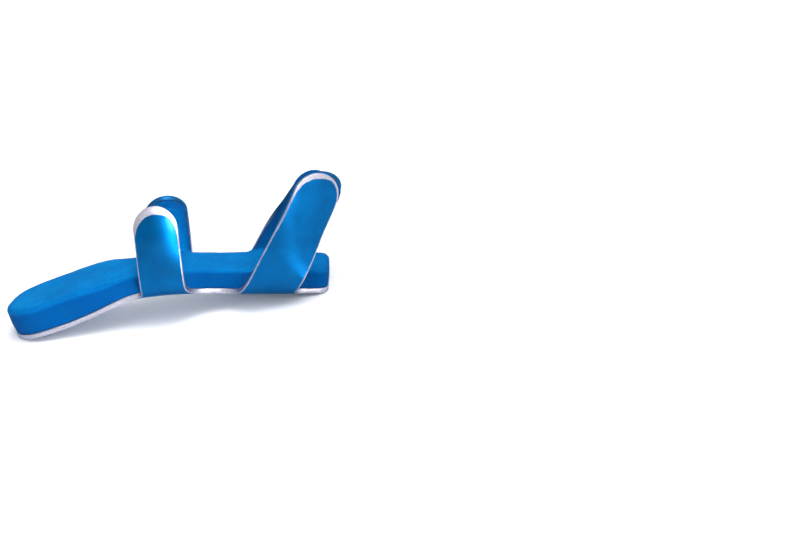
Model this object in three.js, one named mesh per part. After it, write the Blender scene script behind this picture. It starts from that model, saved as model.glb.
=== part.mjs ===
// A padded four-prong finger splint: one bent aluminium plate, lined with one foam pad of the same outline.
// Millimetres, +Z up. X runs along the finger, with its tip towards -X; the origin is on the resting surface.
// The flat blank has coordinates u (along the finger) and v (across it). Every point of the blank is carried
// to its place on the bent plate by the functions under "Bending", and the solids are offset from there.

import * as THREE from "three";

// Plate and foam
const PLATE_THICKNESS = 1.25;
const GLUE_GAP = 0.3;
const FOAM_ON_TONGUE = 6.3;
const FOAM_UNDER_FINGER = 4.2;
const FOAM_ON_PRONGS = 3.4;
const FOAM_PRESSED_LENGTH = 17;

// Blank: the tongue under the fingertip
const TONGUE_LENGTH = 34.6;
const TONGUE_TIP_RADIUS = 9;
const TONGUE_ROOT_WIDTH = 19.4;
const TONGUE_FILLET = 2;

// Blank: the waist between the pairs of prongs, and the tail tab
const WAIST_WIDTH = 15;
const WAIST_LENGTH = 15.4;
const WAIST_FILLET = 5.8;
const TAIL_LENGTH = 5.2;
const TAIL_CORNER_RADIUS = 3;
const TAIL_FILLET = 2.6;

// Prongs, as bent by hand: each pair has one width, and every prong its own reach. Near is -Y and far is +Y.
const DISTAL_WIDTH = 10.8;
const PROXIMAL_WIDTH = 11.8;
const PROXIMAL_LEAN = THREE.MathUtils.degToRad(27);
const DISTAL_NEAR_REACH = 18;
const DISTAL_FAR_REACH = 14.9;
const PROXIMAL_NEAR_REACH = 28;
const PROXIMAL_FAR_REACH = 24.8;

// Bending: the flat floor of the trough and the corners that turn up from it
const FLOOR_WIDTH = 12.6;
const CORNER_RADIUS = 6.2;
const CORNER_FADE_LENGTH = 10;
const DOME_RADIUS = 20;
const DOME_RISE_SHARE = 0.5;

// Bending along the finger, from the straight base towards the fingertip
const RING_BEND_MARGIN = 3;
const RING_BEND = { length: 14, turn: 9 };
const NECK_BEND = { length: 10.5, turn: 19 };
const TONGUE_BEND = { length: 12, turn: -8 };

// Bends of each prong past its corner, along its axis: lengths as shares of its reach, angles in degrees
const DISTAL_NEAR_BENDS = [
  { share: 0.5, turn: 6, twist: 0 },
  { share: 0.4, turn: 16, twist: 0 },
];
const DISTAL_FAR_BENDS = [
  { share: 0.4, turn: 10, twist: -10 },
  { share: 0.5, turn: 26, twist: 0 },
];
const PROXIMAL_NEAR_BENDS = [
  { share: 0.08, turn: 0, twist: 0 },
  { share: 0.4, turn: 2, twist: 22 },
  { share: 0.4, turn: 14, twist: 0 },
];
const PROXIMAL_FAR_BENDS = [
  { share: 0.08, turn: 0, twist: 0 },
  { share: 0.4, turn: 10, twist: -20 },
  { share: 0.4, turn: 24, twist: 0 },
];

// Mesh steps
const RUNG_STEP = 1.25;
const TONGUE_RUNG_STEP = 1.75;
const WAIST_RUNGS = 4;
const TAIL_RUNGS = 2;
const FIRST_TIP_SHARE = 0.25;
const SLOPE_STEP = 0.02;
const FILLET_STEPS = 5;
const TIP_STEPS = 7;
const PRONG_COLUMNS = 4;
const SPINE_SHARES = [-1, -0.84, -0.42, 0, 0.42, 0.84, 1];
const CURL_STEP = 0.5;
const KEY_SCALE = 1e4;

// Places along the blank: u is zero on the axis of the distal prongs
const FLOOR_HALF = FLOOR_WIDTH / 2;
const WAIST_HALF = WAIST_WIDTH / 2;
const TONGUE_HALF = TONGUE_ROOT_WIDTH / 2;
const CORNER_LENGTH = (CORNER_RADIUS * Math.PI) / 2;
const WALL_START_V = FLOOR_HALF + CORNER_LENGTH;
const DISTAL_AXIS = 0;
const PROXIMAL_HALF = PROXIMAL_WIDTH / 2 / Math.cos(PROXIMAL_LEAN);
const PROXIMAL_AXIS = DISTAL_WIDTH / 2 + WAIST_LENGTH + PROXIMAL_HALF;
const distal = { axis: DISTAL_AXIS, lean: 0, width: DISTAL_WIDTH };
const proximal = { axis: PROXIMAL_AXIS, lean: PROXIMAL_LEAN, width: PROXIMAL_WIDTH };
const PRONGS = {
  distalNear: { ...distal, side: -1, reach: DISTAL_NEAR_REACH, bends: DISTAL_NEAR_BENDS },
  distalFar: { ...distal, side: 1, reach: DISTAL_FAR_REACH, bends: DISTAL_FAR_BENDS },
  proximalNear: { ...proximal, side: -1, reach: PROXIMAL_NEAR_REACH, bends: PROXIMAL_NEAR_BENDS },
  proximalFar: { ...proximal, side: 1, reach: PROXIMAL_FAR_REACH, bends: PROXIMAL_FAR_BENDS },
};
const TONGUE_ROOT_U = -DISTAL_WIDTH / 2;
const TONGUE_TIP_U = TONGUE_ROOT_U - TONGUE_LENGTH;
const WAIST_MIDDLE_U = DISTAL_WIDTH / 2 + WAIST_LENGTH / 2;
const TAIL_ROOT_U = PROXIMAL_AXIS + PROXIMAL_HALF;
const TAIL_END_U = TAIL_ROOT_U + TAIL_LENGTH;
const BASE_START_U = DISTAL_WIDTH / 2 + RING_BEND_MARGIN;

// Outline of the blank

// Points of an arc about a centre, from one angle to another, both ends included.
function arcPoints(centreU, centreV, radius, from, to, steps) {
  const points = [];
  for (let i = 0; i <= steps; i++) {
    const angle = from + ((to - from) * i) / steps;
    points.push(new THREE.Vector2(centreU + radius * Math.cos(angle), centreV + radius * Math.sin(angle)));
  }
  return points;
}

// Points between two ends, without the ends, evenly spaced.
function between(start, end, steps) {
  const points = [];
  for (let i = 1; i < steps; i++) points.push(start.clone().lerp(end, i / steps));
  return points;
}

// One long edge of a prong, from its fillet on the waist line to the top of its round tip.
function prongEdge(prong, rootHalf, fillet, side) {
  const { lean, width, reach, axis } = prong;
  const radius = width / 2;
  const along = new THREE.Vector2(Math.sin(lean), Math.cos(lean));
  const across = new THREE.Vector2(Math.cos(lean), -Math.sin(lean));
  const centreV = rootHalf + fillet;
  const edgeU = axis + (centreV - WALL_START_V) * Math.tan(lean) + (side * radius) / Math.cos(lean);
  const centreU = edgeU + (side * fillet) / Math.cos(lean);
  const down = -Math.PI / 2;
  const toProng = side < 0 ? -lean : -Math.PI - lean;
  const foot = arcPoints(centreU, centreV, fillet, down, toProng, FILLET_STEPS);
  const tipCentre = new THREE.Vector2(axis, WALL_START_V).addScaledVector(along, reach - radius);
  const shoulder = tipCentre.clone().addScaledVector(across, side * radius);
  const tip = [];
  for (let i = 0; i <= TIP_STEPS; i++) {
    const angle = (Math.PI / 2) * (i / TIP_STEPS);
    const point = tipCentre.clone().addScaledVector(across, side * radius * Math.cos(angle));
    tip.push(point.addScaledVector(along, radius * Math.sin(angle)));
  }
  const steps = Math.ceil(reach / RUNG_STEP);
  return [...foot, ...between(foot[foot.length - 1], shoulder, steps), ...tip];
}

// Both edges of a prong for one side of the blank.
function prongOutline(prong, leftHalf, leftFillet, rightHalf, rightFillet) {
  return {
    left: prongEdge(prong, leftHalf, leftFillet, -1),
    right: prongEdge(prong, rightHalf, rightFillet, 1),
  };
}

function outlineOf(prong) {
  if (prong.axis === DISTAL_AXIS) return prongOutline(prong, TONGUE_HALF, TONGUE_FILLET, WAIST_HALF, WAIST_FILLET);
  return prongOutline(prong, WAIST_HALF, WAIST_FILLET, WAIST_HALF, TAIL_FILLET);
}

// Where the feet of the prongs meet the spine, the same on both sides: start and end of each pair.
const distalFeet = outlineOf(PRONGS.distalNear);
const proximalFeet = outlineOf(PRONGS.proximalNear);
const FEET_U = [distalFeet.left[0].x, distalFeet.right[0].x, proximalFeet.left[0].x, proximalFeet.right[0].x];

// Half width of the spine at u: tongue, waist and tail, without the prongs.
function spineHalfWidth(u) {
  const [ringStart, ringEnd] = FEET_U;
  const tipStart = TONGUE_TIP_U + TONGUE_TIP_RADIUS;
  if (u < tipStart) return Math.sqrt(Math.max(0, TONGUE_TIP_RADIUS ** 2 - (tipStart - u) ** 2));
  if (u < ringStart) {
    const share = (u - tipStart) / (ringStart - tipStart);
    return THREE.MathUtils.lerp(TONGUE_TIP_RADIUS, TONGUE_HALF, share);
  }
  if (u < ringEnd) return THREE.MathUtils.lerp(TONGUE_HALF, WAIST_HALF, (u - ringStart) / (ringEnd - ringStart));
  const cornerStart = TAIL_END_U - TAIL_CORNER_RADIUS;
  if (u <= cornerStart) return WAIST_HALF;
  const corner = Math.sqrt(Math.max(0, TAIL_CORNER_RADIUS ** 2 - (u - cornerStart) ** 2));
  return WAIST_HALF - TAIL_CORNER_RADIUS + corner;
}

// Stations along the spine. They meet the feet of the prongs, where each prong's columns begin.
function spineStations() {
  const stations = [];
  const add = (from, to, steps) => {
    for (let i = 0; i < steps; i++) stations.push(from + ((to - from) * i) / steps);
  };
  for (let i = 0; i < TIP_STEPS; i++) {
    stations.push(TONGUE_TIP_U + TONGUE_TIP_RADIUS * (1 - Math.cos(((i + FIRST_TIP_SHARE) / TIP_STEPS) * (Math.PI / 2))));
  }
  const tongueStart = TONGUE_TIP_U + TONGUE_TIP_RADIUS;
  add(tongueStart, FEET_U[0], Math.ceil((FEET_U[0] - tongueStart) / TONGUE_RUNG_STEP));
  add(FEET_U[0], FEET_U[1], PRONG_COLUMNS);
  add(FEET_U[1], FEET_U[2], WAIST_RUNGS);
  add(FEET_U[2], FEET_U[3], PRONG_COLUMNS);
  const cornerStart = TAIL_END_U - TAIL_CORNER_RADIUS;
  add(FEET_U[3], cornerStart, TAIL_RUNGS);
  for (let i = 0; i <= TIP_STEPS; i++) {
    stations.push(cornerStart + TAIL_CORNER_RADIUS * Math.sin(((i / TIP_STEPS) * Math.PI) / 2));
  }
  return stations;
}

// Flat mesh of the blank

// A flat mesh that shares the corners of neighbouring quads.
class FlatMesh {
  constructor() {
    this.points = [];
    this.triangles = [];
    this.index = new Map();
  }

  vertex(point) {
    const key = Math.round(point.x * KEY_SCALE) + "," + Math.round(point.y * KEY_SCALE);
    if (!this.index.has(key)) {
      this.index.set(key, this.points.length);
      this.points.push(point);
    }
    return this.index.get(key);
  }

  triangle(a, b, c) {
    const [p, q, r] = [a, b, c].map((point) => this.vertex(point));
    if (p === q || q === r || r === p) return;
    const area = (b.x - a.x) * (c.y - a.y) - (b.y - a.y) * (c.x - a.x);
    this.triangles.push(area > 0 ? [p, q, r] : [p, r, q]);
  }

  // Rows of points, joined by two triangles for each quad.
  grid(rows) {
    for (let i = 0; i + 1 < rows.length; i++) {
      for (let j = 0; j + 1 < rows[i].length; j++) {
        this.triangle(rows[i][j], rows[i + 1][j], rows[i + 1][j + 1]);
        this.triangle(rows[i][j], rows[i + 1][j + 1], rows[i][j + 1]);
      }
    }
  }

  // Edges that belong to one triangle only, each with the blank on its left.
  rim() {
    const edges = new Map();
    for (const [a, b, c] of this.triangles) {
      for (const [p, q] of [[a, b], [b, c], [c, a]]) {
        if (edges.has(q + "," + p)) edges.delete(q + "," + p);
        else edges.set(p + "," + q, [p, q]);
      }
    }
    return [...edges.values()];
  }
}

// A prong's rows: straight rungs from its left edge to its right edge, on one side of the blank.
function prongRows(outline, side) {
  return outline.left.map((left, i) => {
    const right = outline.right[i];
    const row = [];
    for (let j = 0; j <= PRONG_COLUMNS; j++) {
      const point = left.clone().lerp(right, j / PRONG_COLUMNS);
      row.push(new THREE.Vector2(point.x, side * point.y));
    }
    return row;
  });
}

function blankMesh() {
  const mesh = new FlatMesh();
  mesh.grid(
    spineStations().map((u) => SPINE_SHARES.map((share) => new THREE.Vector2(u, share * spineHalfWidth(u)))),
  );
  for (const prong of Object.values(PRONGS)) mesh.grid(prongRows(outlineOf(prong), prong.side));
  return mesh;
}

// Bending

// A point and heading at a distance along a path of bends, in the plane of the path.
function alongBends(bends, distance) {
  let x = 0;
  let z = 0;
  let heading = 0;
  let left = distance;
  for (const bend of [...bends, { length: Infinity, turn: 0 }]) {
    const length = Math.min(left, bend.length);
    const turn = THREE.MathUtils.degToRad(bend.turn) * (Number.isFinite(bend.length) ? length / bend.length : 0);
    const chord = turn === 0 ? length : (length * Math.sin(turn / 2)) / (turn / 2);
    x += chord * Math.cos(heading + turn / 2);
    z += chord * Math.sin(heading + turn / 2);
    heading += turn;
    left -= length;
    if (left <= 0) break;
  }
  return { x, z, heading };
}

// The spine: straight along X from the base's start to the tail, bent down towards the fingertip.
function spineFrame(u) {
  const past = BASE_START_U - u;
  if (past <= 0) return { origin: new THREE.Vector3(u, 0, 0), heading: 0 };
  const at = alongBends([RING_BEND, NECK_BEND, TONGUE_BEND], past);
  return { origin: new THREE.Vector3(BASE_START_U - at.x, 0, -at.z), heading: at.heading };
}

function spineTangent(heading) {
  return new THREE.Vector3(Math.cos(heading), 0, Math.sin(heading));
}

function spineNormal(heading) {
  return new THREE.Vector3(-Math.sin(heading), 0, Math.cos(heading));
}

// A prong past its corner: along its axis it curls inward and twists, and its width stays at right angles.
// The result is in the ring's frame: x along the spine, y outward across the finger, z up.
// The height above the end of the corner says how far the prong has taken on its crosswise dome.
function prongPoint(prong, along, across, height) {
  const position = new THREE.Vector3(0, 0, 0);
  const tangent = new THREE.Vector3(Math.sin(prong.lean), 0, Math.cos(prong.lean));
  const width = new THREE.Vector3(Math.cos(prong.lean), 0, -Math.sin(prong.lean));
  const outward = new THREE.Vector3(0, 1, 0);
  let left = along;
  const rows = prong.bends.map((row) => ({ ...row, length: row.share * prong.reach }));
  rows.push({ length: Infinity, turn: 0, twist: 0 });
  if (left <= 0) position.addScaledVector(tangent, left);
  for (const row of rows) {
    if (left <= 0) break;
    const length = Math.min(left, row.length);
    const steps = Math.max(1, Math.ceil(length / CURL_STEP));
    const part = Number.isFinite(row.length) ? length / row.length / steps : 0;
    const turn = THREE.MathUtils.degToRad(row.turn) * part;
    const twist = THREE.MathUtils.degToRad(row.twist) * part;
    for (let i = 0; i < steps; i++) {
      tangent.addScaledVector(outward, -Math.tan(turn / 2)).normalize();
      position.addScaledVector(tangent, length / steps);
      tangent.addScaledVector(outward, -Math.tan(turn / 2)).normalize();
      width.addScaledVector(outward, -Math.tan(twist)).normalize();
      width.addScaledVector(tangent, -width.dot(tangent)).normalize();
      outward.crossVectors(tangent, width).normalize();
    }
    left -= length;
  }
  const domed = THREE.MathUtils.smoothstep(height, 0, prong.reach * DOME_RISE_SHARE);
  const drop = (domed * across * across) / (2 * DOME_RADIUS);
  return position.addScaledVector(width, across).addScaledVector(outward, -drop);
}

function prongAt(u, side) {
  if (u < WAIST_MIDDLE_U) return side < 0 ? PRONGS.distalNear : PRONGS.distalFar;
  return side < 0 ? PRONGS.proximalNear : PRONGS.proximalFar;
}

// The place of a point of the blank on the outer face of the bent plate.
function bentPoint(u, v) {
  const side = Math.sign(v) || 1;
  const spine = spineFrame(u);
  const past = Math.abs(v) - FLOOR_HALF;
  const fade = THREE.MathUtils.smoothstep(u, TONGUE_ROOT_U - CORNER_FADE_LENGTH, TONGUE_ROOT_U);
  if (past <= 0 || fade === 0) return spine.origin.clone().setY(v);
  const prong = prongAt(u, side);
  const axisHeading = spineFrame(prong.axis).heading;
  const rise = Math.min(past / CORNER_LENGTH, 1);
  const heading = THREE.MathUtils.lerp(spine.heading, axisHeading, THREE.MathUtils.smoothstep(rise, 0, 1));
  const angle = (rise * Math.PI) / 2;
  let along = 0;
  let outward = FLOOR_HALF + CORNER_RADIUS * Math.sin(angle);
  let up = CORNER_RADIUS * (1 - Math.cos(angle));
  if (past > CORNER_LENGTH) {
    const wallU = u - prong.axis;
    const wallV = past - CORNER_LENGTH;
    const onAxis = wallU * Math.sin(prong.lean) + wallV * Math.cos(prong.lean);
    const offAxis = wallU * Math.cos(prong.lean) - wallV * Math.sin(prong.lean);
    const curled = prongPoint(prong, onAxis, offAxis, wallV);
    along = curled.x - wallU;
    outward += curled.y;
    up += curled.z;
  }
  const bent = spine.origin.clone();
  bent.addScaledVector(spineTangent(heading), along);
  bent.addScaledVector(spineNormal(heading), up);
  bent.y = side * outward;
  return spine.origin.clone().setY(v).lerp(bent, fade);
}

// The inward normal of the bent plate, from two short steps on its outer face.
function inwardNormal(u, v) {
  const step = SLOPE_STEP;
  const alongU = bentPoint(u + step, v).sub(bentPoint(u - step, v));
  const alongV = bentPoint(u, v + step).sub(bentPoint(u, v - step));
  return alongU.cross(alongV).normalize();
}

// Solids

// Full on the tongue, pressed under the finger, thinner round the prongs.
function foamThickness(u, v) {
  const pressed = THREE.MathUtils.smoothstep(u, TONGUE_ROOT_U - FOAM_PRESSED_LENGTH, TONGUE_ROOT_U);
  const floor = THREE.MathUtils.lerp(FOAM_ON_TONGUE, FOAM_UNDER_FINGER, pressed);
  const wall = THREE.MathUtils.smoothstep(Math.abs(v), FLOOR_HALF, WALL_START_V);
  return THREE.MathUtils.lerp(floor, FOAM_ON_PRONGS, wall * pressed);
}

// A closed solid between two depths below the plate's outer face.
function layerGeometry(outerDepth, innerDepth) {
  const flat = blankMesh();
  const outer = [];
  const inner = [];
  for (const { x: u, y: v } of flat.points) {
    const place = bentPoint(u, v);
    const normal = inwardNormal(u, v);
    outer.push(place.clone().addScaledVector(normal, outerDepth(u, v)));
    inner.push(place.clone().addScaledVector(normal, innerDepth(u, v)));
  }
  const positions = [...outer, ...inner].flatMap((point) => point.toArray());
  const count = outer.length;
  const faces = [];
  for (const [a, b, c] of flat.triangles) {
    faces.push(a, c, b);
    faces.push(a + count, b + count, c + count);
  }
  for (const [a, b] of flat.rim()) {
    faces.push(a, b, b + count);
    faces.push(a, b + count, a + count);
  }
  const geometry = new THREE.BufferGeometry();
  geometry.setAttribute("position", new THREE.Float32BufferAttribute(positions, 3));
  geometry.setIndex(faces);
  geometry.computeVertexNormals();
  return geometry;
}

function aluminiumPlate() {
  const geometry = layerGeometry(
    () => 0,
    () => PLATE_THICKNESS,
  );
  const coated = new THREE.MeshStandardMaterial({ color: 0x0a6cb4, roughness: 0.28, metalness: 0.8 });
  const plate = new THREE.Mesh(geometry, coated);
  plate.name = "aluminium_plate";
  return plate;
}

function foamPad() {
  const start = PLATE_THICKNESS + GLUE_GAP;
  const geometry = layerGeometry(
    () => start,
    (u, v) => start + foamThickness(u, v),
  );
  const foam = new THREE.MeshStandardMaterial({ color: 0x0f7fd0, roughness: 0.95, metalness: 0 });
  const pad = new THREE.Mesh(geometry, foam);
  pad.name = "foam_pad";
  return pad;
}

// Assembly: the splint stands on the end of its tongue and the end of its tail.
function standing(pieces) {
  const bent = new THREE.Group();
  bent.add(...pieces);
  const tip = bentPoint(TONGUE_TIP_U, 0);
  const tail = bentPoint(TAIL_END_U, 0);
  bent.rotation.y = Math.atan2(tail.z - tip.z, tail.x - tip.x);
  const splint = new THREE.Group();
  splint.add(bent);
  const box = new THREE.Box3().setFromObject(splint, true);
  bent.position.x = -(box.min.x + box.max.x) / 2;
  bent.position.y = -(box.min.y + box.max.y) / 2;
  bent.position.z = -box.min.z;
  return splint;
}

const splint = standing([aluminiumPlate(), foamPad()]);
splint.name = "finger_splint";

export default splint;
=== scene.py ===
"""Looks of the finger splint: a coated aluminium plate with bare edges, lined with soft foam."""
import math

import bmesh
import bpy
import numpy as np
from mathutils import Matrix, Vector, noise
from mathutils.geometry import delaunay_2d_cdt


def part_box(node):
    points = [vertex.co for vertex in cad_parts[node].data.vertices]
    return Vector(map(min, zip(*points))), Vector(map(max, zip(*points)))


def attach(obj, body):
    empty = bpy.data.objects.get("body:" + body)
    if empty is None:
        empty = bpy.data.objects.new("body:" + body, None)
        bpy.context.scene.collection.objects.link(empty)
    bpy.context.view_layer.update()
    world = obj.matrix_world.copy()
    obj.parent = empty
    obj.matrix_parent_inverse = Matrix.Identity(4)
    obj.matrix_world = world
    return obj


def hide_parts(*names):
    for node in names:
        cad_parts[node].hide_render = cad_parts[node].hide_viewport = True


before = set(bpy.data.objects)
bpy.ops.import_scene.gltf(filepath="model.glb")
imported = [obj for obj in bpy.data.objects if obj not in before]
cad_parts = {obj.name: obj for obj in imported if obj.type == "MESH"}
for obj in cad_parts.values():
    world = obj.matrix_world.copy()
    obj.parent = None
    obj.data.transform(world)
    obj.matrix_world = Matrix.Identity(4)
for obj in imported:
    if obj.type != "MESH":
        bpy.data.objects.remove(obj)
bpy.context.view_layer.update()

MM = 0.001

# Plate and foam, in millimetres, as in the part
PLATE_THICKNESS = 1.25
GLUE_GAP = 0.3
FOAM_ON_TONGUE = 6.3
FOAM_UNDER_FINGER = 4.2
FOAM_ON_PRONGS = 3.4
FOAM_PRESSED_LENGTH = 17

# Blank
TONGUE_LENGTH = 34.6
TONGUE_TIP_RADIUS = 9
TONGUE_ROOT_WIDTH = 19.4
TONGUE_FILLET = 2
WAIST_WIDTH = 15
WAIST_LENGTH = 15.4
WAIST_FILLET = 5.8
TAIL_LENGTH = 5.2
TAIL_CORNER_RADIUS = 3
TAIL_FILLET = 2.6

# Prongs, with their bends as (share of reach, turn, twist)
DISTAL_WIDTH = 10.8
PROXIMAL_WIDTH = 11.8
PROXIMAL_LEAN = math.radians(27)
DISTAL_NEAR_REACH = 18
DISTAL_FAR_REACH = 14.9
PROXIMAL_NEAR_REACH = 28
PROXIMAL_FAR_REACH = 24.8
DISTAL_NEAR_BENDS = [(0.5, 6, 0), (0.4, 16, 0)]
DISTAL_FAR_BENDS = [(0.4, 10, -10), (0.5, 26, 0)]
PROXIMAL_NEAR_BENDS = [(0.08, 0, 0), (0.4, 2, 22), (0.4, 14, 0)]
PROXIMAL_FAR_BENDS = [(0.08, 0, 0), (0.4, 10, -20), (0.4, 24, 0)]

# Bends of the blank, as (length, turn) where they lie along the finger
FLOOR_WIDTH = 12.6
CORNER_RADIUS = 6.2
CORNER_FADE_LENGTH = 10
DOME_RADIUS = 20
DOME_RISE_SHARE = 0.5
RING_BEND_MARGIN = 3
RING_BEND = (14, 9)
NECK_BEND = (10.5, 19)
TONGUE_BEND = (12, -8)

# Looks that the part leaves out: softened bends, rolled plate edges, swollen and rounded foam
BEND_BLUR = 3.0
PLATE_INSET = 0.14
PLATE_RIM = [
    (0.02, 0.06),
    (0.06, 0.105),
    (0.12, 0.135),
    (0.5, 0.14),
    (0.88, 0.135),
    (0.94, 0.105),
    (0.98, 0.06),
]
PLATE_ROWS = [0.12, 0.5]
FOAM_INSET = 0.35
FOAM_LIFT = 0.06
FOAM_RIM = [
    (0.03, 0.18),
    (0.1, 0.26),
    (0.25, 0.34),
    (0.42, 0.38),
    (0.6, 0.38),
    (0.78, 0.37),
    (0.9, 0.34),
    (0.96, 0.27),
    (0.99, 0.16),
]
FOAM_ROWS = [0.28, 0.62, 1.1]
FOAM_ROUNDING = 0.55
FOAM_WANDER = 0.16
FOAM_WANDER_SCALE = 0.23
FOAM_SEED = 4
FOAM_TIP_SWELL = 0.35
FOAM_TIP_SWELL_START = 0.3
FOAM_RIM_WANDER = 0.09
FOAM_RIM_WANDER_SCALE = 1.1
FOAM_CORNER_MARGIN = 2.5
FOAM_CORNER_TOP = 5
FOAM_CORNER_FADE = 8
FOAM_WALL_MARGIN = 3
CORNER_RELAX, CORNER_ROUNDS = 0.5, 14
WALL_RELAX, WALL_ROUNDS = 0.35, 6

# Uncoated margin of the plate, from the edge inwards; on tips as (full width, less towards the tail)
TONGUE_MARGIN = 0.28
DISTAL_MARGIN = 0.10
DISTAL_MARGIN_GAIN = 0.08
PROXIMAL_MARGIN = 0.14
DISTAL_TIP_MARGIN = (1.85, 0.75)
PROXIMAL_TIP_MARGIN = (1.0, 0.65)
PRONG_ROOT_MARGIN = 1
TIP_START_SHARE = 0.75
TIP_END_SHARE = 0.1

# Mesh steps
AXIS_STEP = 0.05
SLOPE_STEP = 0.05
OUTLINE_STEP = 0.45
FILLET_STEPS = 14
TIP_STEPS = 24
TONGUE_TIP_STEPS = 40
GRID_SPACING = 0.8
GRID_ROW_SHARE = 0.866
GRID_CLEARANCE_SHARE = 0.45
FAR_AWAY = 1e9
NO_ANGLE = 1e-9

# Colours
COAT_DEEP, COAT_LIGHT = (0.0, 0.078, 0.245), (0.0, 0.108, 0.325)
COAT_SCRATCH, COAT_SPECK = (0.0, 0.19, 0.44), (0.0, 0.24, 0.50)
BARE_DARK, BARE_LIGHT = (0.28, 0.265, 0.32), (0.54, 0.52, 0.58)
SHEARED_DARK, SHEARED_LIGHT = (0.27, 0.26, 0.33), (0.60, 0.59, 0.67)
# Painted shade for the cut rims high on the far prongs
FAR_RIM_SHADE = (0.01, 0.10, 0.25)
FOAM_DEEP, FOAM_LIGHT = (0.0, 0.116, 0.34), (0.0, 0.150, 0.415)
FOAM_PORE, FOAM_FLECK = (0.0, 0.075, 0.33), (0.0, 0.27, 0.60)
# Painted shade: darker copies of the foam colour for its cut sides
FOAM_SIDE_SHADE_DEEP, FOAM_SIDE_SHADE_LIGHT = (0.0, 0.034, 0.155), (0.0, 0.078, 0.27)
FLOOR_DARK, FLOOR_LIGHT = (0.86, 0.86, 0.87), (0.90, 0.90, 0.91)

# View of the photograph
IMAGE_WIDTH = 800
IMAGE_CENTRE = (400, 266.5)
ORIGIN_SEEN_AT = (169.0, 282.6)
PIXELS_PER_MM = 4.08
CAMERA_ELEVATION = math.radians(21)
CAMERA_DISTANCE = 600.0
SENSOR_WIDTH = 36
FLOOR_HALF_SIZE = 3.0

# Places along the blank: u is zero on the axis of the distal prongs
FLOOR_HALF = FLOOR_WIDTH / 2
WAIST_HALF = WAIST_WIDTH / 2
TONGUE_HALF = TONGUE_ROOT_WIDTH / 2
CORNER_LENGTH = CORNER_RADIUS * math.pi / 2
WALL_START_V = FLOOR_HALF + CORNER_LENGTH
PROXIMAL_HALF = PROXIMAL_WIDTH / 2 / math.cos(PROXIMAL_LEAN)
PROXIMAL_AXIS = DISTAL_WIDTH / 2 + WAIST_LENGTH + PROXIMAL_HALF
TONGUE_ROOT_U = -DISTAL_WIDTH / 2
TONGUE_TIP_U = TONGUE_ROOT_U - TONGUE_LENGTH
WAIST_MIDDLE_U = DISTAL_WIDTH / 2 + WAIST_LENGTH / 2
TAIL_END_U = PROXIMAL_AXIS + PROXIMAL_HALF + TAIL_LENGTH
BASE_START_U = DISTAL_WIDTH / 2 + RING_BEND_MARGIN


class Prong:
    """One prong: its place and size on the blank, and its bends."""

    def __init__(self, axis, lean, width, side, reach, bends):
        self.axis, self.lean, self.width, self.side, self.reach = axis, lean, width, side, reach
        self.bends = bends
        self.table()

    def table(self):
        """Frames along the bent axis, in short steps."""
        tangent = np.array([math.sin(self.lean), 0.0, math.cos(self.lean)])
        width = np.array([math.cos(self.lean), 0.0, -math.sin(self.lean)])
        outward = np.array([0.0, 1.0, 0.0])
        position = np.zeros(3)
        ends = np.cumsum([row[0] * self.reach for row in self.bends])
        self.s = np.arange(0, self.reach + 1, AXIS_STEP)
        rates = []
        for share, turn, twist in self.bends:
            rates.append((math.radians(turn) / share, math.radians(twist) / share))
        rates = np.array(rates + [(0, 0)])[np.searchsorted(ends, self.s + AXIS_STEP / 2)]
        rates = rates * AXIS_STEP / self.reach
        window = np.hanning(2 * round(BEND_BLUR / AXIS_STEP) + 1)
        around = np.pad(rates, ((len(window) // 2,) * 2, (0, 0)), mode="edge")
        blurred = [np.convolve(column, window / window.sum(), "valid") for column in around.T]
        rows = []
        for turn, twist in zip(*blurred):
            rows.append(np.concatenate([position, tangent, width, outward]))
            tangent = unit(tangent - outward * math.tan(turn / 2))
            position = position + tangent * AXIS_STEP
            tangent = unit(tangent - outward * math.tan(turn / 2))
            width = unit(width - outward * math.tan(twist))
            width = unit(width - tangent * width.dot(tangent))
            outward = unit(np.cross(tangent, width))
        self.rows = np.array(rows)

    def place(self, along, across, height):
        """Points of the bent prong for distances along its axis, across it and above its corner."""
        at = np.stack([np.interp(along, self.s, self.rows[:, k]) for k in range(12)], 1)
        position, tangent, width, outward = at[:, 0:3], at[:, 3:6], at[:, 6:9], at[:, 9:12]
        domed = smoothstep(height, 0, self.reach * DOME_RISE_SHARE)
        drop = domed * across**2 / (2 * DOME_RADIUS)
        before = np.minimum(along, 0)
        return position + tangent * before[:, None] + width * across[:, None] - outward * drop[:, None]


def unit(vector):
    return vector / np.linalg.norm(vector)


def smoothstep(x, low, high):
    t = np.clip((x - low) / (high - low), 0, 1)
    return t * t * (3 - 2 * t)


# Axis, lean and width of each pair
DISTAL = (0, 0, DISTAL_WIDTH)
PROXIMAL = (PROXIMAL_AXIS, PROXIMAL_LEAN, PROXIMAL_WIDTH)
PRONGS = {
    "distal_near": Prong(*DISTAL, -1, DISTAL_NEAR_REACH, DISTAL_NEAR_BENDS),
    "distal_far": Prong(*DISTAL, 1, DISTAL_FAR_REACH, DISTAL_FAR_BENDS),
    "proximal_near": Prong(*PROXIMAL, -1, PROXIMAL_NEAR_REACH, PROXIMAL_NEAR_BENDS),
    "proximal_far": Prong(*PROXIMAL, 1, PROXIMAL_FAR_REACH, PROXIMAL_FAR_BENDS),
}


# Outline of the blank


def arc(centre_u, centre_v, radius, start, end, steps):
    angles = np.linspace(start, end, steps + 1)
    return [(centre_u + radius * math.cos(a), centre_v + radius * math.sin(a)) for a in angles]


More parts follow.
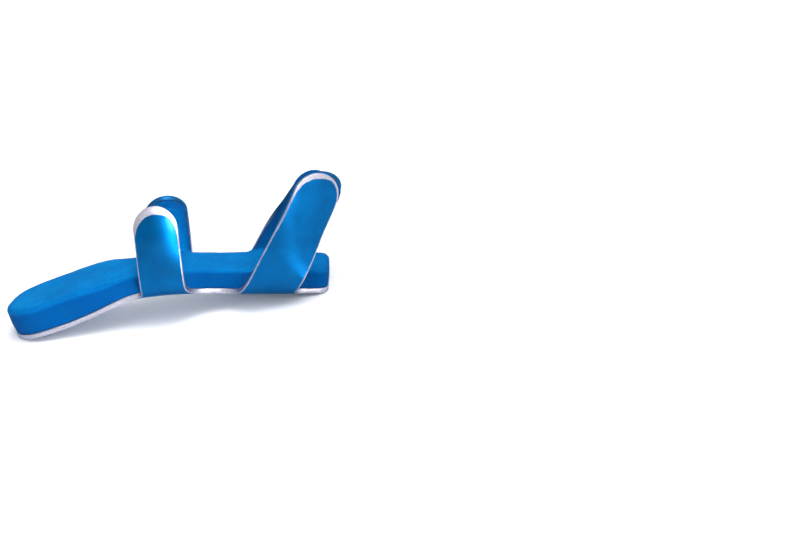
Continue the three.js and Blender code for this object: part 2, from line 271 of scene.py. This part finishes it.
def prong_edge(prong, root_half, fillet, side):
    """One long edge of a prong, from its foot to the top of its round tip, for the +V side."""
    lean, radius = prong.lean, prong.width / 2
    along = np.array([math.sin(lean), math.cos(lean)])
    across = np.array([math.cos(lean), -math.sin(lean)])
    centre_v = root_half + fillet
    edge_u = prong.axis + (centre_v - WALL_START_V) * math.tan(lean) + side * radius / math.cos(lean)
    centre_u = edge_u + side * fillet / math.cos(lean)
    to_prong = -lean if side < 0 else -math.pi - lean
    points = arc(centre_u, centre_v, fillet, -math.pi / 2, to_prong, FILLET_STEPS)
    tip = np.array([prong.axis, WALL_START_V]) + along * (prong.reach - radius)
    foot, shoulder = np.array(points[-1]), tip + across * side * radius
    count = max(2, int(np.linalg.norm(shoulder - foot) / OUTLINE_STEP))
    points += [tuple(foot + (shoulder - foot) * i / count) for i in range(1, count)]
    for i in range(TIP_STEPS + 1):
        angle = math.pi / 2 * i / TIP_STEPS
        at = tip + across * side * radius * math.cos(angle) + along * radius * math.sin(angle)
        points.append(tuple(at))
    return points


def straight(a, b):
    """Points from a to b without b."""
    a, b = np.array(a), np.array(b)
    count = max(1, int(round(np.linalg.norm(b - a) / OUTLINE_STEP)))
    return [tuple(a + (b - a) * i / count) for i in range(count)]


def half_outline(side):
    """The outline from the tongue's tip to the tail's end, on one side of the blank."""
    distal = PRONGS["distal_near" if side < 0 else "distal_far"]
    proximal = PRONGS["proximal_near" if side < 0 else "proximal_far"]
    tip_centre = TONGUE_TIP_U + TONGUE_TIP_RADIUS
    points = arc(tip_centre, 0, TONGUE_TIP_RADIUS, math.pi, math.pi / 2, TONGUE_TIP_STEPS)[:-1]
    d_left = prong_edge(distal, TONGUE_HALF, TONGUE_FILLET, -1)
    d_right = prong_edge(distal, WAIST_HALF, WAIST_FILLET, 1)
    p_left = prong_edge(proximal, WAIST_HALF, WAIST_FILLET, -1)
    p_right = prong_edge(proximal, WAIST_HALF, TAIL_FILLET, 1)
    points += straight((tip_centre, TONGUE_TIP_RADIUS), d_left[0])
    points += d_left + d_right[::-1][1:-1]
    points += straight(d_right[0], p_left[0])
    points += p_left + p_right[::-1][1:-1]
    corner_u = TAIL_END_U - TAIL_CORNER_RADIUS
    corner_v = WAIST_HALF - TAIL_CORNER_RADIUS
    points += straight(p_right[0], (corner_u, WAIST_HALF))
    points += arc(corner_u, corner_v, TAIL_CORNER_RADIUS, math.pi / 2, 0, FILLET_STEPS)[:-1]
    points += straight((TAIL_END_U, corner_v), (TAIL_END_U, 0))
    return [(u, side * v) for u, v in points] + [(TAIL_END_U, 0.0)]


def outline():
    """The whole outline, counter-clockwise, without a repeated point."""
    near, far = half_outline(-1), half_outline(1)
    return np.array(near[:-1] + far[::-1][:-1])


def outward_normals(loop):
    """Unit normals of the counter-clockwise outline, out of the blank."""
    before, after = np.roll(loop, 1, 0), np.roll(loop, -1, 0)
    d = after - before
    n = np.stack([d[:, 1], -d[:, 0]], 1)
    return n / np.linalg.norm(n, axis=1)[:, None]


def distance_to(points, loop):
    """Distance of each point to the closed outline."""
    a, b = loop, np.roll(loop, -1, 0)
    best = np.full(len(points), FAR_AWAY)
    for p, q in zip(a, b):
        d = q - p
        t = np.clip(((points - p) @ d) / (d @ d), 0, 1)
        best = np.minimum(best, np.hypot(*(points - p - t[:, None] * d).T))
    return best


def inside(points, loop):
    """Which points lie within the outline, by counting crossings."""
    x, y = points[:, 0], points[:, 1]
    odd = np.zeros(len(points), bool)
    for (ax, ay), (bx, by) in zip(loop, np.roll(loop, -1, 0)):
        if ay == by:
            continue
        cross = (ay > y) != (by > y)
        odd ^= cross & (x < (bx - ax) * (y - ay) / (by - ay) + ax)
    return odd


def flat_mesh(loop, insets):
    """Triangles of the blank: the outline, a few inset loops and a grid of points inside them."""
    normals = outward_normals(loop)
    loops = [loop] + [loop - normals * d for d in insets]
    us = np.arange(loop[:, 0].min(), loop[:, 0].max(), GRID_SPACING)
    vs = np.arange(0, loop[:, 1].max() + GRID_SPACING, GRID_SPACING * GRID_ROW_SHARE)
    vs = np.concatenate([-vs[:0:-1], vs])
    grid = np.array([(u + (GRID_SPACING / 2 if k % 2 else 0), v) for k, v in enumerate(vs) for u in us])
    grid = grid[inside(grid, loop)]
    grid = grid[distance_to(grid, loop) > insets[-1] + GRID_SPACING * GRID_CLEARANCE_SHARE]
    verts = np.concatenate(loops + [grid])
    edges = []
    for k in range(len(loops)):
        base = k * len(loop)
        edges += [(base + i, base + (i + 1) % len(loop)) for i in range(len(loop))]
    result = delaunay_2d_cdt([Vector(p) for p in verts], edges, [list(range(len(loop)))], 1, 1e-5)
    points = np.array([tuple(p) for p in result[0]])
    triangles = [tuple(f) for f in result[2]]
    rim = [0] * len(loop)
    for index, originals in enumerate(result[3]):
        for o in originals:
            if o < len(loop):
                rim[o] = index
    return points, triangles, rim


# Bending the blank


def along_bends(bends, distance):
    """Places and headings at distances along a path of bends."""
    x, z, heading = (np.zeros_like(distance) for _ in range(3))
    left = distance.copy()
    for length, turn in [*bends, (FAR_AWAY, 0)]:
        part = np.minimum(left, length)
        angle = np.radians(turn) * (part / length)
        half = np.where(np.abs(angle) < NO_ANGLE, NO_ANGLE, angle / 2)
        chord = part * np.sin(half) / half
        x = x + chord * np.cos(heading + angle / 2)
        z = z + chord * np.sin(heading + angle / 2)
        heading = heading + angle
        left = left - part
    return x, z, heading


def spine_frames(u):
    """Places and headings of the outer face's middle line."""
    past = np.maximum(BASE_START_U - u, 0)
    x, z, heading = along_bends([RING_BEND, NECK_BEND, TONGUE_BEND], past)
    origin = np.stack([np.where(u > BASE_START_U, u, BASE_START_U - x), np.zeros_like(u), -z], 1)
    return origin, heading


def bent_points(u, v):
    """Places on the plate's outer face for points of the blank."""
    side = np.where(v < 0, -1.0, 1.0)
    origin, spine_heading = spine_frames(u)
    past = np.abs(v) - FLOOR_HALF
    fade = smoothstep(u, TONGUE_ROOT_U - CORNER_FADE_LENGTH, TONGUE_ROOT_U)
    rise = np.clip(past / CORNER_LENGTH, 0, 1)
    distal = u < WAIST_MIDDLE_U
    axis_heading = np.where(distal, *(spine_frames(np.array([a]))[1][0] for a in (0.0, PROXIMAL_AXIS)))
    heading = spine_heading + (axis_heading - spine_heading) * smoothstep(rise, 0, 1)
    angle = rise * math.pi / 2
    along = np.zeros_like(u)
    outward = FLOOR_HALF + CORNER_RADIUS * np.sin(angle)
    up = CORNER_RADIUS * (1 - np.cos(angle))
    for prong in PRONGS.values():
        mine = (past > CORNER_LENGTH) & (distal == (prong.axis == 0)) & (side == prong.side)
        if not mine.any():
            continue
        wall_u = u[mine] - prong.axis
        wall_v = past[mine] - CORNER_LENGTH
        on = wall_u * math.sin(prong.lean) + wall_v * math.cos(prong.lean)
        off = wall_u * math.cos(prong.lean) - wall_v * math.sin(prong.lean)
        curled = prong.place(on, off, wall_v)
        along[mine] = curled[:, 0] - wall_u
        outward[mine] += curled[:, 1]
        up[mine] += curled[:, 2]
    bent = origin.copy()
    bent[:, 0] += np.cos(heading) * along - np.sin(heading) * up
    bent[:, 2] += np.sin(heading) * along + np.cos(heading) * up
    bent[:, 1] = side * outward
    flat = origin.copy()
    flat[:, 1] = v
    mix = np.where(past <= 0, 0, fade)[:, None]
    return flat + (bent - flat) * mix


def inward_normals(u, v):
    """Unit normals of the bent face, towards the finger."""
    du = bent_points(u + SLOPE_STEP, v) - bent_points(u - SLOPE_STEP, v)
    dv = bent_points(u, v + SLOPE_STEP) - bent_points(u, v - SLOPE_STEP)
    n = np.cross(du, dv)
    return n / np.linalg.norm(n, axis=1)[:, None]


def foam_thickness(u, v):
    """Full under the fingertip, pressed in the rings and thinner up the prongs."""
    pressed = smoothstep(u, TONGUE_ROOT_U - FOAM_PRESSED_LENGTH, TONGUE_ROOT_U)
    floor = FOAM_ON_TONGUE + (FOAM_UNDER_FINGER - FOAM_ON_TONGUE) * pressed
    wall = smoothstep(np.abs(v), FLOOR_HALF, WALL_START_V) * pressed
    return floor + (FOAM_ON_PRONGS - floor) * wall


def rest_turn():
    """Rotation about Y that stands the splint on its two ends, as in the part."""
    ends = bent_points(np.array([TONGUE_TIP_U, TAIL_END_U]), np.zeros(2))
    d = ends[1] - ends[0]
    return np.array(Matrix.Rotation(math.atan2(d[2], d[0]), 3, "Y"))


TURN = rest_turn()


def stand(points):
    return points @ TURN.T


def resting_shift():
    """Lines the bent plate up with its CAD node."""
    loop = outline()
    low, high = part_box("aluminium_plate")
    outer = stand(bent_points(loop[:, 0], loop[:, 1]))
    inner = outer + stand(inward_normals(loop[:, 0], loop[:, 1])) * PLATE_THICKNESS
    both = np.concatenate([outer, inner])
    middle = (both.min(0) + both.max(0)) / 2
    shift = (np.array(low) + np.array(high)) / 2 / MM - middle
    shift[2] = low[2] / MM - both[:, 2].min()
    return shift


SHIFT = resting_shift()


# Meshes


def add_object(name, verts, faces, attributes, material):
    mesh = bpy.data.meshes.new(name)
    mesh.from_pydata([tuple(p) for p in verts * MM], [], faces)
    for key, values in attributes.items():
        layer = mesh.attributes.new(key, "FLOAT", "POINT")
        layer.data.foreach_set("value", np.asarray(values, dtype=np.float32))
    mesh.polygons.foreach_set("use_smooth", [True] * len(mesh.polygons))
    mesh.materials.append(material)
    mesh.update()
    obj = bpy.data.objects.new(name, mesh)
    bpy.context.collection.objects.link(obj)
    return obj


def soft_noise(points, scale, seed):
    offset = Vector((seed * 17.3, seed * 5.1, seed * 9.7))
    return np.array([noise.noise(Vector(p) * scale + offset) for p in points])


def tip_closeness(u, v):
    """1 at the round end of a prong, 0 away from it."""
    close = np.zeros_like(u)
    for prong in PRONGS.values():
        mine = (np.sign(v) == prong.side) & ((u < WAIST_MIDDLE_U) == (prong.axis == 0))
        along = (u - prong.axis) * math.sin(prong.lean) + (np.abs(v) - WALL_START_V) * math.cos(prong.lean)
        start = prong.reach - TIP_START_SHARE * prong.width
        near = smoothstep(along, start, prong.reach - TIP_END_SHARE * prong.width)
        close = np.where(mine, np.maximum(close, near), close)
    return close


def nearest_on(points, loop):
    """Index of the outline point nearest to each point."""
    best = np.full(len(points), FAR_AWAY)
    index = np.zeros(len(points), int)
    for k, p in enumerate(loop):
        d = np.hypot(*(points - p).T)
        index = np.where(d < best, k, index)
        best = np.minimum(best, d)
    return index


def bare_width(u, v, loop):
    """Width of the uncoated margin: broad on the round tips, narrow along the sides."""
    nearest = nearest_on(np.stack([u, v], 1), loop)
    facing = outward_normals(loop)[nearest][:, 0]
    distal = u < WAIST_MIDDLE_U
    on_prong = (np.abs(v) > WAIST_HALF + PRONG_ROOT_MARGIN) & (u > TONGUE_ROOT_U - PRONG_ROOT_MARGIN)
    distal_side = DISTAL_MARGIN + DISTAL_MARGIN_GAIN * smoothstep(facing, -0.2, 0.6)
    side = np.where(distal, distal_side, PROXIMAL_MARGIN)
    side = np.where(on_prong, side, TONGUE_MARGIN)
    right = smoothstep(facing, 0.2, 0.95)
    tips = (DISTAL_TIP_MARGIN, PROXIMAL_TIP_MARGIN)
    distal_tip, proximal_tip = (full - loss * right for full, loss in tips)
    return side + tip_closeness(u, v) * np.where(distal, distal_tip, proximal_tip)


def relax(points, triangles, weight, rounds):
    """Moves points towards the middle of their neighbours, as far as each one's weight says."""
    pairs = np.array([(t[i], t[(i + 1) % 3]) for t in triangles for i in range(3)])
    pairs = np.concatenate([pairs, pairs[:, ::-1]])
    degree = np.bincount(pairs[:, 0], minlength=len(points))
    for _ in range(rounds):
        total = np.zeros_like(points)
        np.add.at(total, pairs[:, 0], points[pairs[:, 1]])
        middle = total / np.maximum(degree, 1)[:, None]
        points = points + (middle - points) * weight[:, None]
    return points


def soften(inner, normal, u, v, triangles, wander, seed):
    """An uneven face whose folds in the trough's corners and on the prongs are smoothed out."""
    inner = inner + normal * (soft_noise(inner, FOAM_WANDER_SCALE, seed) * wander)[:, None]
    from_middle = np.abs(v)
    corner = smoothstep(from_middle, FLOOR_HALF - FOAM_CORNER_MARGIN, FLOOR_HALF)
    corner = corner * smoothstep(-from_middle, -WALL_START_V - FOAM_CORNER_TOP, -WALL_START_V)
    past_tongue = smoothstep(u, TONGUE_ROOT_U - FOAM_CORNER_FADE, TONGUE_ROOT_U)
    inner = relax(inner, triangles, corner * CORNER_RELAX * past_tongue, CORNER_ROUNDS)
    wall = smoothstep(from_middle, WALL_START_V - FOAM_WALL_MARGIN, WALL_START_V)
    return relax(inner, triangles, WALL_RELAX * wall, WALL_ROUNDS)


def shell(name, loop, depths, profile, material, insets, rounding=0.0, wander=0.0, seed=1):
    """A closed solid between two depths, with a profiled rim and a rounded inner edge.

    profile lists (share of the way through, distance beyond the outline) from the outer to the inner face.
    """
    points, triangles, rim = flat_mesh(loop, insets)
    u, v = points[:, 0], points[:, 1]
    base = bent_points(u, v)
    normal = inward_normals(u, v)
    d0, d1 = (depth(u, v) for depth in depths)
    edge = distance_to(points, loop)
    edge[rim] = 0
    if rounding:
        d1 = d1 - rounding * (1 - np.clip(edge / (2 * rounding), 0, 1)) ** 2
    outer = base + normal * d0[:, None]
    inner = base + normal * d1[:, None]
    if wander:
        inner = soften(inner, normal, u, v, triangles, wander, seed)
    count = len(points)
    faces = [tuple(t) for t in oriented(points, triangles, False)]
    faces += [tuple(i + count for i in t) for t in oriented(points, triangles, True)]
    # Each layer: points, distance from the edge, share of the way through, 1 on the cut side, u and v
    layers = [(outer, edge, 0.0, 0.0, u, v), (inner, edge, 1.0, 0.0, u, v)]
    rings = [rim]
    here = np.array(rim)
    beyond = outward_normals(loop) * SLOPE_STEP
    du = bent_points(u[here] + beyond[:, 0], v[here] + beyond[:, 1]) - base[here]
    du = du / np.linalg.norm(du, axis=1)[:, None]
    total = 2 * count
    for share, out in profile:
        reach = np.full(len(here), float(out))
        if wander:
            row = base[here] + normal[here] * share * 5
            reach += soft_noise(row, FOAM_RIM_WANDER_SCALE, seed + 3) * FOAM_RIM_WANDER
            swell = FOAM_TIP_SWELL * smoothstep(share, 0.0, FOAM_TIP_SWELL_START)
            reach += tip_closeness(u[here], v[here]) * swell
        ring = outer[here] + (inner[here] - outer[here]) * share + du * reach[:, None]
        layers.append((ring, 0.0, share, 1.0, u[here], v[here]))
        rings.append(list(range(total, total + len(here))))
        total += len(here)
    rings.append([i + count for i in rim])
    for a, b in zip(rings, rings[1:]):
        for i in range(len(a)):
            j = (i + 1) % len(a)
            faces.append((a[i], a[j], b[j], b[i]))
    columns = [np.concatenate([np.broadcast_to(row[k], len(row[0])) for row in layers]) for k in range(1, 6)]
    attributes = dict(zip(("edge_mm", "through", "cut_face"), columns))
    attributes["bare_mm"] = bare_width(columns[3], columns[4], loop)
    placed = stand(np.concatenate([row[0] for row in layers])) + SHIFT
    obj = add_object(name, placed, faces, attributes, material)
    fix_normals(obj)
    return obj


def oriented(points, triangles, anticlockwise):
    """The triangles, all turned the same way round."""
    for a, b, c in triangles:
        pa, pb, pc = points[a], points[b], points[c]
        area = (pb[0] - pa[0]) * (pc[1] - pa[1]) - (pb[1] - pa[1]) * (pc[0] - pa[0])
        yield (a, b, c) if (area > 0) == anticlockwise else (a, c, b)


def fix_normals(obj):
    bm = bmesh.new()
    bm.from_mesh(obj.data)
    bmesh.ops.recalc_face_normals(bm, faces=bm.faces)
    bm.to_mesh(obj.data)
    bm.free()


# Materials


class Nodes:
    """Short names for making a node material."""

    def __init__(self, name):
        self.material = bpy.data.materials.new(name)
        self.material.use_nodes = True
        self.tree = self.material.node_tree
        self.tree.nodes.clear()
        self.out = self.tree.nodes.new("ShaderNodeOutputMaterial")

    def new(self, kind, **settings):
        node = self.tree.nodes.new(kind)
        for key, value in settings.items():
            setattr(node, key, value)
        return node

    def link(self, a, b):
        self.tree.links.new(a, b)

    def math(self, operation, a, b):
        node = self.new("ShaderNodeMath", operation=operation)
        for socket, value in zip(node.inputs, (a, b)):
            if isinstance(value, (int, float)):
                socket.default_value = value
            else:
                self.link(value, socket)
        return node.outputs[0]

    def attribute(self, name):
        return self.new("ShaderNodeAttribute", attribute_name=name).outputs["Fac"]

    def place(self, scale=(1, 1, 1)):
        """Object coordinates in millimetres, stretched."""
        coords = self.new("ShaderNodeTexCoord")
        mapping = self.new("ShaderNodeMapping")
        mapping.inputs["Scale"].default_value = [s / MM for s in scale]
        self.link(coords.outputs["Object"], mapping.inputs["Vector"])
        return mapping.outputs["Vector"]

    def noise(self, vector, scale, detail=3.0, roughness=0.55):
        node = self.new("ShaderNodeTexNoise")
        node.inputs["Scale"].default_value = scale
        node.inputs["Detail"].default_value = detail
        node.inputs["Roughness"].default_value = roughness
        self.link(vector, node.inputs["Vector"])
        return node.outputs["Fac"]

    def cells(self, vector, scale):
        node = self.new("ShaderNodeTexVoronoi")
        node.inputs["Scale"].default_value = scale
        self.link(vector, node.inputs["Vector"])
        return node.outputs["Distance"]

    def ramp(self, value, low, high):
        node = self.new("ShaderNodeMapRange", interpolation_type="SMOOTHSTEP")
        node.inputs["From Min"].default_value = low
        node.inputs["From Max"].default_value = high
        self.link(value, node.inputs["Value"])
        return node.outputs["Result"]

    def mix(self, factor, a, b):
        """Colours a to b."""
        node = self.new("ShaderNodeMix", data_type="RGBA")
        self.link(factor, node.inputs["Factor"])
        for socket, value in zip((node.inputs[6], node.inputs[7]), (a, b)):
            if isinstance(value, tuple):
                socket.default_value = (*value, 1)
            else:
                self.link(value, socket)
        return node.outputs[2]

    def bump(self, height, strength, distance, normal=None):
        node = self.new("ShaderNodeBump")
        node.inputs["Strength"].default_value = strength
        node.inputs["Distance"].default_value = distance
        self.link(height, node.inputs["Height"])
        if normal is not None:
            self.link(normal, node.inputs["Normal"])
        return node.outputs["Normal"]


def plate_material():
    n = Nodes("coated_aluminium")
    at = n.place()
    edge, bare_mm, cut, through = (n.attribute(k) for k in ("edge_mm", "bare_mm", "cut_face", "through"))
    # The coat ends a little short of the edge, and further from it on the round prong tips.
    waver = n.math("MULTIPLY", n.math("SUBTRACT", n.noise(at, 0.9, 4.0), 0.5), 0.34)
    margin = n.math("SUBTRACT", n.math("ADD", edge, waver), bare_mm)
    coated = n.ramp(margin, -0.12, 0.12)
    outside = n.math("SUBTRACT", 1.0, n.ramp(through, 0.02, 0.06))
    coated = n.math("MULTIPLY", n.math("MULTIPLY", coated, outside), n.math("SUBTRACT", 1.0, cut))
    # Fine scratches and rubbed specks
    hair = n.noise(n.place((0.35, 1, 6.5)), 3.2, 6.0, 0.7)
    speck = n.ramp(n.cells(at, 0.55), 0.02, 0.06)
    cloud = n.noise(at, 0.16, 3.0)
    blue = n.mix(n.ramp(cloud, 0.3, 0.7), COAT_DEEP, COAT_LIGHT)
    blue = n.mix(n.math("MULTIPLY", n.ramp(hair, 0.35, 0.75), 0.30), blue, COAT_SCRATCH)
    blue = n.mix(speck, COAT_SPECK, blue)
    bare = n.mix(n.ramp(hair, 0.3, 0.7), BARE_DARK, BARE_LIGHT)
    streaks = n.noise(n.place((1.6, 1.6, 0.5)), 5.0, 3.0)
    sheared = n.mix(n.ramp(streaks, 0.35, 0.7), SHEARED_DARK, SHEARED_LIGHT)
    bare = n.mix(n.math("MULTIPLY", cut, 0.8), bare, sheared)
    # Painted shade: the cut rims high on the far prongs are coloured dark blue, as if they lay in shade.
    where = n.new("ShaderNodeSeparateXYZ")
    n.link(at, where.inputs[0])
    far = n.math("MULTIPLY", n.ramp(where.outputs["Y"], 3.0, 5.0), n.ramp(where.outputs["Z"], 11.0, 18.0))
    bare = n.mix(n.math("MULTIPLY", cut, far), bare, FAR_RIM_SHADE)
    colour = n.mix(coated, bare, blue)
    rough_coat = n.math("ADD", n.math("MULTIPLY", hair, 0.14), 0.31)
    rough_bare = n.math("ADD", n.math("MULTIPLY", hair, 0.22), 0.30)
    roughness = n.new("ShaderNodeMix", data_type="FLOAT")
    n.link(coated, roughness.inputs["Factor"])
    n.link(rough_bare, roughness.inputs[2])
    n.link(rough_coat, roughness.inputs[3])
    coat_step = n.bump(coated, 0.35, 0.00006)
    grain = n.bump(hair, 0.10, 0.00004, coat_step)
    peel = n.bump(n.noise(at, 0.9, 2.0), 0.10, 0.00010, grain)
    # The rolled grain runs along the finger, so highlights are stretched across it, up the prongs.
    across = n.new("ShaderNodeCombineXYZ")
    across.inputs["Y"].default_value = 0.5
    across.inputs["Z"].default_value = 1.0
    shader = n.new("ShaderNodeBsdfPrincipled")
    shader.inputs["Metallic"].default_value = 1.0
    shader.inputs["Specular Tint"].default_value = (0.3, 0.75, 1.0, 1.0)
    shader.inputs["Coat Roughness"].default_value = 0.12
    n.link(n.math("MULTIPLY", coated, 0.8), shader.inputs["Anisotropic"])
    n.link(across.outputs[0], shader.inputs["Tangent"])
    n.link(n.math("MULTIPLY", coated, 0.08), shader.inputs["Coat Weight"])
    n.link(colour, shader.inputs["Base Color"])
    n.link(roughness.outputs[0], shader.inputs["Roughness"])
    n.link(peel, shader.inputs["Normal"])
    n.link(shader.outputs[0], n.out.inputs["Surface"])
    return n.material


def foam_material():
    n = Nodes("blue_foam")
    at = n.place()
    pore = n.ramp(n.cells(at, 4.2), 0.05, 0.42)
    fine = n.noise(at, 7.0, 4.0, 0.7)
    cloud = n.noise(at, 0.14, 3.0)
    fleck = n.noise(n.place((0.5, 1.4, 2.2)), 2.1, 3.0, 0.6)
    colour = n.mix(n.ramp(cloud, 0.3, 0.7), FOAM_DEEP, FOAM_LIGHT)
    colour = n.mix(n.math("MULTIPLY", n.math("SUBTRACT", 1.0, pore), 0.45), colour, FOAM_PORE)
    colour = n.mix(n.math("MULTIPLY", n.ramp(fleck, 0.52, 0.72), 0.5), colour, FOAM_FLECK)
    # Painted shade: a darker copy of the foam colour, for the sides that lie in shade.
    side = n.mix(n.math("MULTIPLY", n.ramp(fine, 0.4, 0.7), 0.5), FOAM_SIDE_SHADE_DEEP, FOAM_SIDE_SHADE_LIGHT)
    # Painted shade: the cut sides take the darker colour, fading out towards the top face, and the rounded
    # edge is shaded between the two.
    fade = n.math("MULTIPLY", n.ramp(n.attribute("through"), 0.80, 1.0), 0.45)
    side_shade = n.math("MULTIPLY", n.attribute("cut_face"), n.math("SUBTRACT", 0.85, fade))
    edge_shade = n.math("MULTIPLY", n.math("SUBTRACT", 1.0, n.ramp(n.attribute("edge_mm"), 0.0, 1.5)), 0.40)
    colour = n.mix(n.math("MAXIMUM", side_shade, edge_shade), colour, side)
    relief = n.math("ADD", n.math("MULTIPLY", pore, 0.6), n.math("MULTIPLY", fine, 0.5))
    normal = n.bump(relief, 0.55, 0.00012)
    normal = n.bump(n.noise(at, 0.8, 2.0), 0.35, 0.00035, normal)
    shader = n.new("ShaderNodeBsdfPrincipled")
    shader.inputs["Roughness"].default_value = 0.86
    shader.inputs["Sheen Weight"].default_value = 0.02
    shader.inputs["Sheen Roughness"].default_value = 0.5
    shader.inputs["Sheen Tint"].default_value = (0.1, 0.55, 1.0, 1.0)
    shader.inputs["Specular IOR Level"].default_value = 0.03
    n.link(colour, shader.inputs["Base Color"])
    n.link(normal, shader.inputs["Normal"])
    n.link(shader.outputs[0], n.out.inputs["Surface"])
    return n.material


def floor_material():
    n = Nodes("pale_floor")
    shader = n.new("ShaderNodeBsdfPrincipled")
    grain = n.noise(n.place(), 0.25, 3.0)
    n.link(n.mix(grain, FLOOR_DARK, FLOOR_LIGHT), shader.inputs["Base Color"])
    shader.inputs["Roughness"].default_value = 0.75
    n.link(shader.outputs[0], n.out.inputs["Surface"])
    return n.material


# Pieces

LOOP = outline()

plate = shell(
    "splint_plate",
    LOOP - outward_normals(LOOP) * PLATE_INSET,
    (lambda u, v: np.zeros_like(u), lambda u, v: np.full_like(u, PLATE_THICKNESS)),
    PLATE_RIM,
    plate_material(),
    PLATE_ROWS,
)
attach(plate, "root")
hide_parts("aluminium_plate")

foam = shell(
    "splint_foam",
    LOOP - outward_normals(LOOP) * FOAM_INSET,
    (
        lambda u, v: np.full_like(u, PLATE_THICKNESS + FOAM_LIFT),
        lambda u, v: PLATE_THICKNESS + GLUE_GAP + foam_thickness(u, v),
    ),
    FOAM_RIM,
    foam_material(),
    FOAM_ROWS,
    FOAM_ROUNDING,
    FOAM_WANDER,
    FOAM_SEED,
)
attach(foam, "root")
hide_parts("foam_pad")


# Stage, camera and light


def add_floor():
    mesh = bpy.data.meshes.new("floor")
    s = FLOOR_HALF_SIZE
    mesh.from_pydata([(-s, -s, 0), (s, -s, 0), (s, s, 0), (-s, s, 0)], [], [(0, 1, 2, 3)])
    mesh.materials.append(floor_material())
    floor = bpy.data.objects.new("floor", mesh)
    bpy.context.collection.objects.link(floor)


def add_camera():
    """The photograph's view: level with the splint's straight base, so it tips with the resting splint."""
    view = Vector((0, math.cos(CAMERA_ELEVATION), -math.sin(CAMERA_ELEVATION)))
    up = Vector((0, math.sin(CAMERA_ELEVATION), math.cos(CAMERA_ELEVATION)))
    right = Vector((1, 0, 0))
    beside, above = ((seen - middle) / PIXELS_PER_MM for seen, middle in zip(ORIGIN_SEEN_AT, IMAGE_CENTRE))
    eye = -view * CAMERA_DISTANCE - right * beside + up * above
    turn = Matrix(TURN.tolist())
    rotation = turn @ Matrix((right, up, -view)).transposed()
    camera_data = bpy.data.cameras.new("camera")
    camera_data.sensor_fit = "HORIZONTAL"
    camera_data.sensor_width = SENSOR_WIDTH
    camera_data.lens = SENSOR_WIDTH * PIXELS_PER_MM * CAMERA_DISTANCE / IMAGE_WIDTH
    camera_data.clip_start = 0.01
    camera_data.clip_end = 20
    camera = bpy.data.objects.new("camera", camera_data)
    bpy.context.collection.objects.link(camera)
    place = (turn @ eye + Vector(SHIFT.tolist())) * MM
    camera.matrix_world = Matrix.Translation(place) @ rotation.to_4x4()
    bpy.context.scene.camera = camera


def add_light(name, place, target, size, watts, spread=180):
    data = bpy.data.lights.new(name, "AREA")
    data.shape = "RECTANGLE"
    data.size, data.size_y = size
    data.energy = watts
    data.spread = math.radians(spread)
    light = bpy.data.objects.new(name, data)
    bpy.context.collection.objects.link(light)
    light.location = place
    light.rotation_euler = (Vector(target) - Vector(place)).to_track_quat("-Z", "Y").to_euler()


def add_world():
    """A pale studio: brighter overhead and to the right, darker low on the left."""
    world = bpy.data.worlds.new("studio")
    world.use_nodes = True
    tree = world.node_tree
    coords = tree.nodes.new("ShaderNodeTexCoord")
    split = tree.nodes.new("ShaderNodeSeparateXYZ")
    total = tree.nodes.new("ShaderNodeMath")
    tree.links.new(coords.outputs["Generated"], split.inputs[0])
    ramps = [("X", -0.8, 0.7, 0.20, 0.75), ("Z", 0.0, 0.45, 0.0, 0.50)]
    for socket, (axis, *limits) in zip(total.inputs, ramps):
        ramp = tree.nodes.new("ShaderNodeMapRange")
        ramp.interpolation_type = "SMOOTHSTEP"
        for key, value in zip(("From Min", "From Max", "To Min", "To Max"), limits):
            ramp.inputs[key].default_value = value
        tree.links.new(split.outputs[axis], ramp.inputs["Value"])
        tree.links.new(ramp.outputs["Result"], socket)
    background = tree.nodes["Background"]
    background.inputs["Color"].default_value = (0.95, 0.97, 1.0, 1)
    tree.links.new(total.outputs[0], background.inputs["Strength"])
    bpy.context.scene.world = world


bpy.context.scene.view_settings.view_transform = "Standard"
add_floor()
add_camera()
add_world()
add_light("key", (0.22, -0.10, 0.80), (0, 0, 0.01), (0.5, 0.5), 4.1)
add_light("strip", (0.078, -0.26, 0.085), (-0.026, 0, 0.018), (0.05, 0.14), 0.042, spread=30)
add_light("window", (0.50, -0.56, 0.20), (0.0, 0, 0.02), (0.34, 0.36), 1.1)
add_light("fill", (-0.6, -0.5, 0.6), (0, 0, 0.01), (0.6, 0.6), 1.0)
